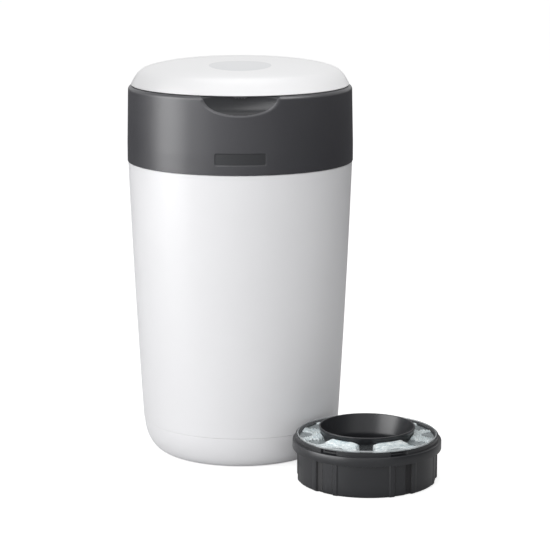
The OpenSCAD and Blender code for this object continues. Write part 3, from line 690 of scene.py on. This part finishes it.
def lid_ear(x):
    """Outline of an ear on the band that holds the lid's pin, with a tapering foot."""
    root = chord(BAND_TOP_R - BAND_SEAT, x)
    low = BAND_TOP - LID_EAR_FOOT
    high = BAND_TOP - 3
    taper = [(LID_HINGE_Y + HINGE_R - (HINGE_R + 3.6) * (1 - math.sin(t * math.pi / 2)),
              low + (high - low) * t) for t in np.linspace(0, 1, 10)]
    return ([(root, low)] + taper + arc(LID_HINGE_Y, LID_HINGE_Z, HINGE_R, 0, 180)
            + [(LID_HINGE_Y - HINGE_R, BAND_TOP - 1), (root, high)])


def make_band_hinges():
    """The band's knuckle on the head's pin, and its two ears round the lid's pin."""
    knuckle = swept("band_knuckle", np.linspace(-HEAD_KNUCKLE, HEAD_KNUCKLE, 15), head_knuckle,
                    "band_charcoal", 0.5)
    pieces = [knuckle]
    for side in (-1, 1):
        spans = sorted(side * x for x in np.linspace(*LID_EAR, 3))
        pieces.append(swept("band_ear_left" if side < 0 else "band_ear_right", spans, lid_ear,
                            "band_charcoal", 0.6))
    for piece in pieces:
        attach(piece, "head")
        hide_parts("head_shell")


def crown_height(height, share):
    """Height of the lid's flat crown at a share of its radius, for a lid this high."""
    fall, ease = CROWN_POWERS
    return LID_SKIRT + (height - LID_SKIRT) * np.maximum(1 - share ** fall, 0) ** ease


def lid_crown(radius, height, share):
    """A point of the lid's flat crown, at a share of its radius."""
    return np.array([max(radius * share, AXIS_R), crown_height(height, share)])


def lid_profile(inset, steps):
    """Skirt, shoulder and crown of the lid, from its rim to its middle."""
    radius = LID_R - LID_LEAN - inset
    height = LID_H - inset
    rim = np.array([LID_R - inset, 0.0])
    low = rim + 0.85 * np.array([-LID_LEAN, LID_SKIRT])
    high = lid_crown(radius, height, CROWN_SHARE)
    over = high + 4 * (high - lid_crown(radius, height, CROWN_SHARE - 0.02))
    shoulder = [(1 - t) ** 3 * rim + 3 * t * (1 - t) ** 2 * low + 3 * t * t * (1 - t) * over
                + t ** 3 * high for t in np.linspace(0, 1, steps // 2)]
    crown = [lid_crown(radius, height, math.sin(a))
             for a in np.linspace(math.asin(CROWN_SHARE), 0, steps)[1:]]
    return shoulder + crown


def make_lid():
    """The lid's dome with its disc and knuckle, returned as the pieces that share its lamps."""
    outer = lid_profile(0, 48)
    inner = lid_profile(LID_WALL, 32)
    outer = rounded_corner(inner[0], outer[0], outer[1], 0.7, 6) + outer[1:]
    profile = [(r, LID_Z + z) for r, z in list(outer) + inner[::-1]]
    dome = revolve("lid_dome", profile, "lid_white", count=FINE_TURN, smooth_deg=40)
    disc = lid_disc()
    knuckle = swept("lid_knuckle", np.linspace(-LID_KNUCKLE, LID_KNUCKLE, 9), lid_knuckle,
                    "lid_white", 0.5)
    for piece in (dome, disc, knuckle):
        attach(piece, "lid")
        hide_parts("lid_shell")
    return dome, disc, knuckle


def lid_disc():
    """A thin plain disc let on to the crown, forward of its middle, and following it."""
    turn = directions(128)
    out = np.array([0.005, 0.2, 0.4, 0.6, 0.8, 0.94, 1, 1.012, 0.9, 0.5, 0.005])[None, :] * DISC_R
    up = np.array([1, 1, 1, 1, 1, 1, 0.8, -4, -4, -4, -4])[None, :] * DISC_PROUD
    x = out * np.cos(turn)
    y = out * np.sin(turn) - DISC_FORWARD
    crown = crown_height(LID_H, np.hypot(x, y) / (LID_R - LID_LEAN))
    disc = loft("lid_disc", np.stack([x, y, LID_Z + crown + up], -1), "lid_white")
    disc.data.materials[0] = DISC_GREY
    return disc


def lid_knuckle(x):
    """Outline of the lid's knuckle and of the web that joins it to the lid's wall."""
    low = chord(LID_R - 1.2, x)
    high = chord(LID_R - 6.2, x)
    return ([(low, LID_Z + 0.2), (LID_HINGE_Y - 3.4, LID_Z + 0.2)]
            + arc(LID_HINGE_Y, LID_HINGE_Z, HINGE_R, 180, 450, 24) + [(high, LID_Z + 9)])


def between(value, low, high, soft):
    """1 between low and high, easing to 0 over soft at each end."""
    up = np.clip((value - low) / soft + 0.5, 0, 1)
    down = np.clip((high - value) / soft + 0.5, 0, 1)
    both = up * down
    return both * both * (3 - 2 * both)


def from_pair(angle):
    """Directions, as degrees from the middle of the nearest pair of keyways and windows."""
    spread = 360 / CAS_PAIRS
    off = np.degrees(angle) + 90 - CAS_PAIR_AT
    return np.abs((off + spread / 2) % spread - spread / 2)


def cassette_relief(angle, height):
    """How far the cassette's wall stands out: ribs, flutes and keyways below the ring, windows
    with their tongues in the rim above it."""
    off = from_pair(angle)
    wall_ease, rim_ease, up_ease = CAS_EASE
    wall = sum(depth * between(off, start, end, wall_ease)
               for start, end, depth in (CAS_RIB, CAS_FLUTE, CAS_KEYWAY, CAS_EDGE))
    start, end, depth = CAS_WINDOW
    window = (depth * between(off, start, end, rim_ease)
              * between(height, CAS_RING_TOP + 0.3, CAS_RIM_Z - 0.8, up_ease))
    start, end, depth = CAS_TONGUE
    low = (CAS_RING_TOP + CAS_RIM_Z) / 2 - 0.2 - CAS_TONGUE_H / 2
    tongue = (between(off, start, end, rim_ease)
              * between(height, low, low + CAS_TONGUE_H, up_ease))
    window = window * (1 - tongue) + depth * tongue * (window < 0)
    return np.where(height < CAS_RING_Z - 0.4, wall, 0) + np.where(height > CAS_RING_TOP, window, 0)


def make_cassette_shell(name, place, body, node):
    """A cassette's body in one skin: wall, ring and rim outside, trough, funnel and bore inside."""
    angle = directions(720)
    rim_heights = np.linspace(CAS_RING_TOP + 0.2, CAS_RIM_Z - 0.4, 18)
    outside = ([(CAS_R - 3, 0), (CAS_R - 1.7, 0.25), (CAS_R - 0.7, 0.9), (CAS_R - 0.15, 1.9)]
               + [(CAS_R, z) for z in (3, 12, 24, 33, 34.0, 34.35, 34.5)]
               + [(CAS_R + 0.3, CAS_RING_Z), (CAS_RING_R - 0.6, CAS_RING_Z)]
               + [(CAS_RING_R - 0.15, CAS_RING_Z + 0.15), (CAS_RING_R, CAS_RING_Z + 0.6)]
               + [(CAS_RING_R, CAS_RING_TOP - 1.1), (CAS_RING_R - 0.3, CAS_RING_TOP - 0.35)]
               + [(CAS_RING_R - 1.0, CAS_RING_TOP), (CAS_RIM_R + 0.3, CAS_RING_TOP)]
               + [(CAS_RIM_R, z) for z in rim_heights]
               + [(CAS_RIM_R - 0.12, CAS_RIM_Z - 0.12), (CAS_RIM_R - 0.5, CAS_RIM_Z)])
    inner_r = CAS_R - CAS_WALL
    inside = soften([(CAS_RIM_R - 2.8, CAS_RIM_Z), (CAS_RIM_R - 2.8, CAS_RING_TOP - 1),
                     (inner_r, CAS_RING_TOP - 3), (inner_r, CAS_WALL),
                     (CAS_BORE_R + CAS_WALL, CAS_WALL), (CAS_BORE_R + CAS_WALL, CAS_FUNNEL_Z),
                     (CAS_MOUTH_R - 0.4, CAS_H - 2.4), (CAS_MOUTH_R, CAS_H - 1.4),
                     (CAS_MOUTH_R, CAS_H), (CAS_MOUTH_R - CAS_WALL, CAS_H),
                     (CAS_MOUTH_R - CAS_WALL - 0.4, CAS_H - 2), (CAS_BORE_R, CAS_FUNNEL_Z),
                     (CAS_BORE_R, 0)],
                    [0.5, 0, 0, 1, 1, 12, 0, 0, 0.6, 0.6, 0, 14, 0.8], 6)
    profile = np.array(outside + [tuple(p) for p in inside])[None, :]
    r = profile[:, :, 0] + 0 * angle
    z = profile[:, :, 1] + 0 * angle
    outer_count = len(outside)
    r[:, :outer_count] += cassette_relief(angle, z[:, :outer_count])
    shell = loft(name, around(angle, r, z) + np.array(place), "cassette_charcoal", smooth_deg=32)
    keyway = second_finish(shell, KEYWAY_PAINTED_SHADE)
    # The sunk keyway floors below the ring take the painted shade
    for face in shell.data.polygons:
        x, y, height = np.array(face.center / MM) - place
        off = from_pair(math.atan2(y, x))
        sunk = CAS_R - math.hypot(x, y)
        if CAS_KEYWAY[0] < off < CAS_KEYWAY[1] and 0.5 < sunk < 1.7 and height < CAS_RING_Z:
            face.material_index = keyway
    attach(shell, body)
    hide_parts(node)
    return shell


def make_cassette_cover(name, place, body, node):
    """The clear sheet on a cassette's rim, a flat ring with a raised edge."""
    inner = CAS_MOUTH_R - 1.9
    outer = CAS_RIM_R - 1.6
    low = CAS_RIM_Z
    profile = soften([(inner, low), (outer, low), (outer, low + 1.5), (outer - 1.2, low + 1.5),
                      (outer - 1.8, low + 1), (inner + 0.8, low + 1)],
                     [0, 0, 0.5, 0.4, 0.4, 0.4], 4)
    cover = revolve(name, [(r, z) for r, z in profile], "cover_clear")
    edge = second_finish(cover, COVER_EDGE_HIGHLIGHT)
    # The raised edge takes the painted highlight
    for face in cover.data.polygons:
        if math.hypot(face.center.x, face.center.y) > (outer - 1.5) * MM:
            face.material_index = edge
    cover.location = Vector(place) * MM
    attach(cover, body)
    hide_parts(node)


def film_lobes(angle, radius):
    """Where the film shows bright: 1 on the gathered lobes, 0 in the gaps between them and in the
    hollow that each lobe has at its outer edge. With it, a phase that tells the lobes apart, and
    the degrees from the middle of the nearest lobe."""
    past_first = np.degrees(angle) - FILM_LOBE_AT
    which = np.floor(past_first / FILM_SPREAD + 0.5)
    off = past_first - which * FILM_SPREAD
    phase = 1.7 * (which % FILM_LOBES)
    ragged = sum(size * np.sin(turn * radius + share * phase) for size, turn, share in FILM_RAGGED)
    lobe = between(off + ragged, -FILM_LOBE_HALF, FILM_LOBE_HALF, 1.6)
    out, half_w, half_l = FILM_HOLLOW
    from_hollow = np.hypot((off - 3 * np.sin(phase)) / half_w, (radius - out) / half_l)
    hollow = between(from_hollow, -1, 1, 0.12)
    edge = FILM_EDGE - 0.9 * np.abs(np.sin(off / 5 + phase))
    return lobe * (1 - hollow) * between(radius, 30, edge, 0.8), phase, off


def film_top(angle, radius, gathered):
    """Height of the film under the cover. Its lobes are streaked by folds that run round the
    tube. The front gap is deep, and so is a ragged slit beside each rear gap, along its lobe.
    Where the end is gathered it stands up beside the funnel, most of all at the front."""
    bright, phase, off = film_lobes(angle, radius)
    front_gap = FILM_LOBE_AT - FILM_SPREAD / 2
    from_front = np.abs((np.degrees(angle) - front_gap + 180) % 360 - 180)
    size, repeat = FILM_TOOTH
    tooth = size * np.abs((radius * repeat) % 1 - 0.5)
    deep = (between(from_front, -1, FILM_FRONT_HALF - tooth, 1.2)
            + between(from_front, FILM_SLIT_AT, FILM_SLIT_AT + FILM_SLIT_W + 2 * tooth, 1.2))
    along = 1.15 * radius + (0.05 + 0.03 * np.sin(phase)) * off
    folds = (0.7 * np.abs(np.sin(along + phase)) + 0.4 * np.abs(np.sin(2.3 * along - off / 9))
             + 0.4 * np.abs(np.sin(0.25 * off + 0.4 * radius + 2 * phase)))
    behind = 1 - between(from_front, -1, 24, 3)
    height = (FILM_Z + (FILM_LOBE_H + folds) * bright
              + (FILM_GAP_H * behind - FILM_SLIT * deep) * (1 - bright))
    if gathered:
        beside = np.clip((57 - radius) / 8, 0, 1)
        front = between(from_front, -FILM_FRONT, FILM_FRONT, FILM_FRONT / 4)
        lift = between(off, -20, 20, 16) * beside * (2.2 - beside) * (2.0 + 1.6 * front)
        height = height + lift * bright
    return height


def make_cassette_film(name, place, body, node, gathered):
    """A cassette's pack of film: pleated sides, and the top with its lobes."""
    angle = directions(900)
    flat = 0 * angle
    inner = CAS_BORE_R + CAS_WALL + 0.8
    outer = CAS_R - CAS_WALL - 0.6
    across = np.linspace(inner + 0.4, outer - 0.4, 64)[None, :]
    top = film_top(angle, across, gathered)
    pleat_z = np.linspace(*PLEAT_Z, PLEATS)[None, :]
    zigzag = PLEAT_D * (np.arange(PLEATS) % 2)[None, :]
    r = np.concatenate([inner + zigzag + flat, across + flat, outer - zigzag[:, ::-1] + flat], 1)
    z = np.concatenate([pleat_z + flat, top, pleat_z[:, ::-1] + flat], 1)
    # Where the tube widens into the funnel the film lies against its outside
    tube = np.interp(z, [CAS_FUNNEL_Z - 6, CAS_FUNNEL_Z, CAS_H - 2],
                     [CAS_BORE_R, CAS_BORE_R + 0.6, CAS_MOUTH_R - CAS_WALL]) + CAS_WALL + 0.6
    r = np.maximum(r, np.minimum(tube, outer))
    rings = around(angle, r, z) + np.array(place)
    film = loft(name, rings[:, ::-1], "film_pale_blue", smooth_deg=28)
    grey = second_finish(film, FILM_PAINTED_SHADE)
    middles = np.array([face.center for face in film.data.polygons]) / MM - np.array(place)
    bright = film_lobes(np.arctan2(middles[:, 1], middles[:, 0]),
                        np.hypot(middles[:, 0], middles[:, 1]))[0]
    # Faces in the gaps and hollows, above the pleats, take the painted shade
    shaded = (bright < 0.5) & (middles[:, 2] > PLEAT_Z[1])
    film.data.polygons.foreach_set("material_index", grey * shaded.astype(np.int32))
    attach(film, body)
    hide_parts(node)


def make_cassettes():
    """Body, cover and film of both cassettes. Only the spare's film has its end gathered."""
    shells = []
    for prefix, place, body, node in (("fitted", FITTED_PLACE, "rotor", "cassette"),
                                      ("spare", SPARE_PLACE, "spare_cassette", "spare_cassette")):
        shells.append(make_cassette_shell(prefix + "_cassette_shell", place, body,
                                          node + "_body"))
        make_cassette_cover(prefix + "_cassette_sheet", place, body, node + "_cover")
        make_cassette_film(prefix + "_cassette_folds", place, body, node + "_film",
                           gathered=prefix == "spare")
    return shells


def make_stage():
    """A pale floor that reads as white to the camera and keeps the object's shadow."""
    bpy.ops.mesh.primitive_plane_add(size=FLOOR_SIZE, location=(0, FLOOR_BACK, 0))
    floor = bpy.context.object
    floor.name = "floor"
    material, tree = new_material("pale_floor")
    path = add(tree, "ShaderNodeLightPath")
    pale = add(tree, "ShaderNodeBsdfDiffuse")
    pale.inputs["Color"].default_value = linear("#d8d8d8")
    glow = add(tree, "ShaderNodeEmission", {"Strength": path.outputs["Is Camera Ray"]})
    glow.inputs["Color"].default_value = [FLOOR_GLOW] * 3 + [1]
    both = add(tree, "ShaderNodeAddShader", {0: pale.outputs["BSDF"], 1: glow.outputs["Emission"]})
    add(tree, "ShaderNodeOutputMaterial", {"Surface": both.outputs[0]})
    floor.data.materials.append(material)
    world = bpy.data.worlds.new("studio")
    bpy.context.scene.world = world
    world.use_nodes = True
    tree = world.node_tree
    tree.nodes.clear()
    path = add(tree, "ShaderNodeLightPath")
    sharp = add(tree, "ShaderNodeMath", {0: path.outputs["Is Camera Ray"],
                                         1: path.outputs["Is Transmission Ray"]},
                operation="MAXIMUM")
    seen = add(tree, "ShaderNodeMath", {0: sharp.outputs[0], 1: path.outputs["Is Glossy Ray"]},
               operation="MAXIMUM")
    light = add(tree, "ShaderNodeBackground", Strength=WORLD_LIGHT)
    white = add(tree, "ShaderNodeBackground", Strength=1.0)
    for background in (light, white):
        background.inputs["Color"].default_value = (1, 1, 1, 1)
    both = add(tree, "ShaderNodeMixShader", {0: seen.outputs[0], 1: light.outputs[0],
                                             2: white.outputs[0]})
    add(tree, "ShaderNodeOutputWorld", {"Surface": both.outputs[0]})


def soft_box(name, place, target, size, power):
    """An area lamp that faces its target."""
    lamp = bpy.data.lights.new(name, "AREA")
    lamp.shape = "RECTANGLE"
    lamp.size, lamp.size_y = size
    lamp.energy = power
    obj = bpy.data.objects.new(name, lamp)
    bpy.context.scene.collection.objects.link(obj)
    obj.location = place
    obj.rotation_euler = (Vector(target) - Vector(place)).to_track_quat("-Z", "Y").to_euler()
    return obj


def link_lamp(lamp, pieces, state):
    """Lets a lamp light only these pieces (INCLUDE), or all others (EXCLUDE)."""
    group = bpy.data.collections.new(lamp.name + "_" + state.lower())
    for piece in pieces:
        group.objects.link(piece)
    for entry in group.collection_objects:
        entry.light_linking.link_state = state
    lamp.light_linking.receiver_collection = group


def make_lamps(lid_pieces, band, shells):
    """Soft boxes and strips. The lid has a frontal fill of its own, which keeps it even while
    the sides fall off to the right."""
    lamps = {box[0]: soft_box(*box) for box in SOFT_BOXES}
    lamps["front_fill"].visible_glossy = False
    link_lamp(lamps["front_fill"], lid_pieces, "EXCLUDE")
    link_lamp(lamps["key_left"], lid_pieces, "EXCLUDE")
    link_lamp(lamps["lid_fill"], lid_pieces, "INCLUDE")
    for strip, pieces, state in ((GLOSS_STRIP, shells, "EXCLUDE"), (BAND_STRIP, [band], "INCLUDE"),
                                 (SCOOP_STRIP, [band], "INCLUDE"), (EDGE_STRIP, [band], "INCLUDE"),
                                 (LOW_STRIP, shells, "INCLUDE")):
        lamp = soft_box(*strip)
        lamp.visible_diffuse = False
        link_lamp(lamp, pieces, state)


def make_dark_cards():
    """Dark cards behind the object and on its right that only glossy surfaces see: they keep
    the edges dark against the white background, as black flags do in a studio."""
    material, tree = new_material("dark_card_felt")
    felt = add(tree, "ShaderNodeEmission", Strength=1.0)
    felt.inputs["Color"].default_value = linear("#5a5a5c")
    add(tree, "ShaderNodeOutputMaterial", {"Surface": felt.outputs["Emission"]})
    for name, place, length, height, turn in DARK_CARDS:
        bpy.ops.mesh.primitive_plane_add(size=1, location=place)
        card = bpy.context.object
        card.name = name
        card.scale = (length, height, 1)
        card.rotation_euler = (math.pi / 2, 0, math.radians(turn))
        card.data.materials.append(material)
        for ray in ("camera", "diffuse", "transmission", "volume_scatter", "shadow"):
            setattr(card, "visible_" + ray, False)


def make_camera():
    """The photograph's camera."""
    lens = bpy.data.cameras.new("camera")
    lens.sensor_width = SENSOR_MM
    lens.lens = SENSOR_MM * FOCAL_PIXELS / FRAME_PIXELS
    obj = bpy.data.objects.new("camera", lens)
    bpy.context.scene.collection.objects.link(obj)
    obj.location = (0, -CAMERA_DISTANCE, CAMERA_HEIGHT)
    obj.rotation_euler = (math.pi / 2 - CAMERA_PITCH, 0, -CAMERA_YAW)
    bpy.context.scene.camera = obj


make_camera()
make_stage()
make_dark_cards()
dress_cad_nodes()
make_tub()
make_tub_ears()
band = make_band()
make_band_hinges()
lid = make_lid()
shells = make_cassettes()
make_lamps(lid, band, shells)

scene = bpy.context.scene
scene.view_settings.view_transform = "Standard"
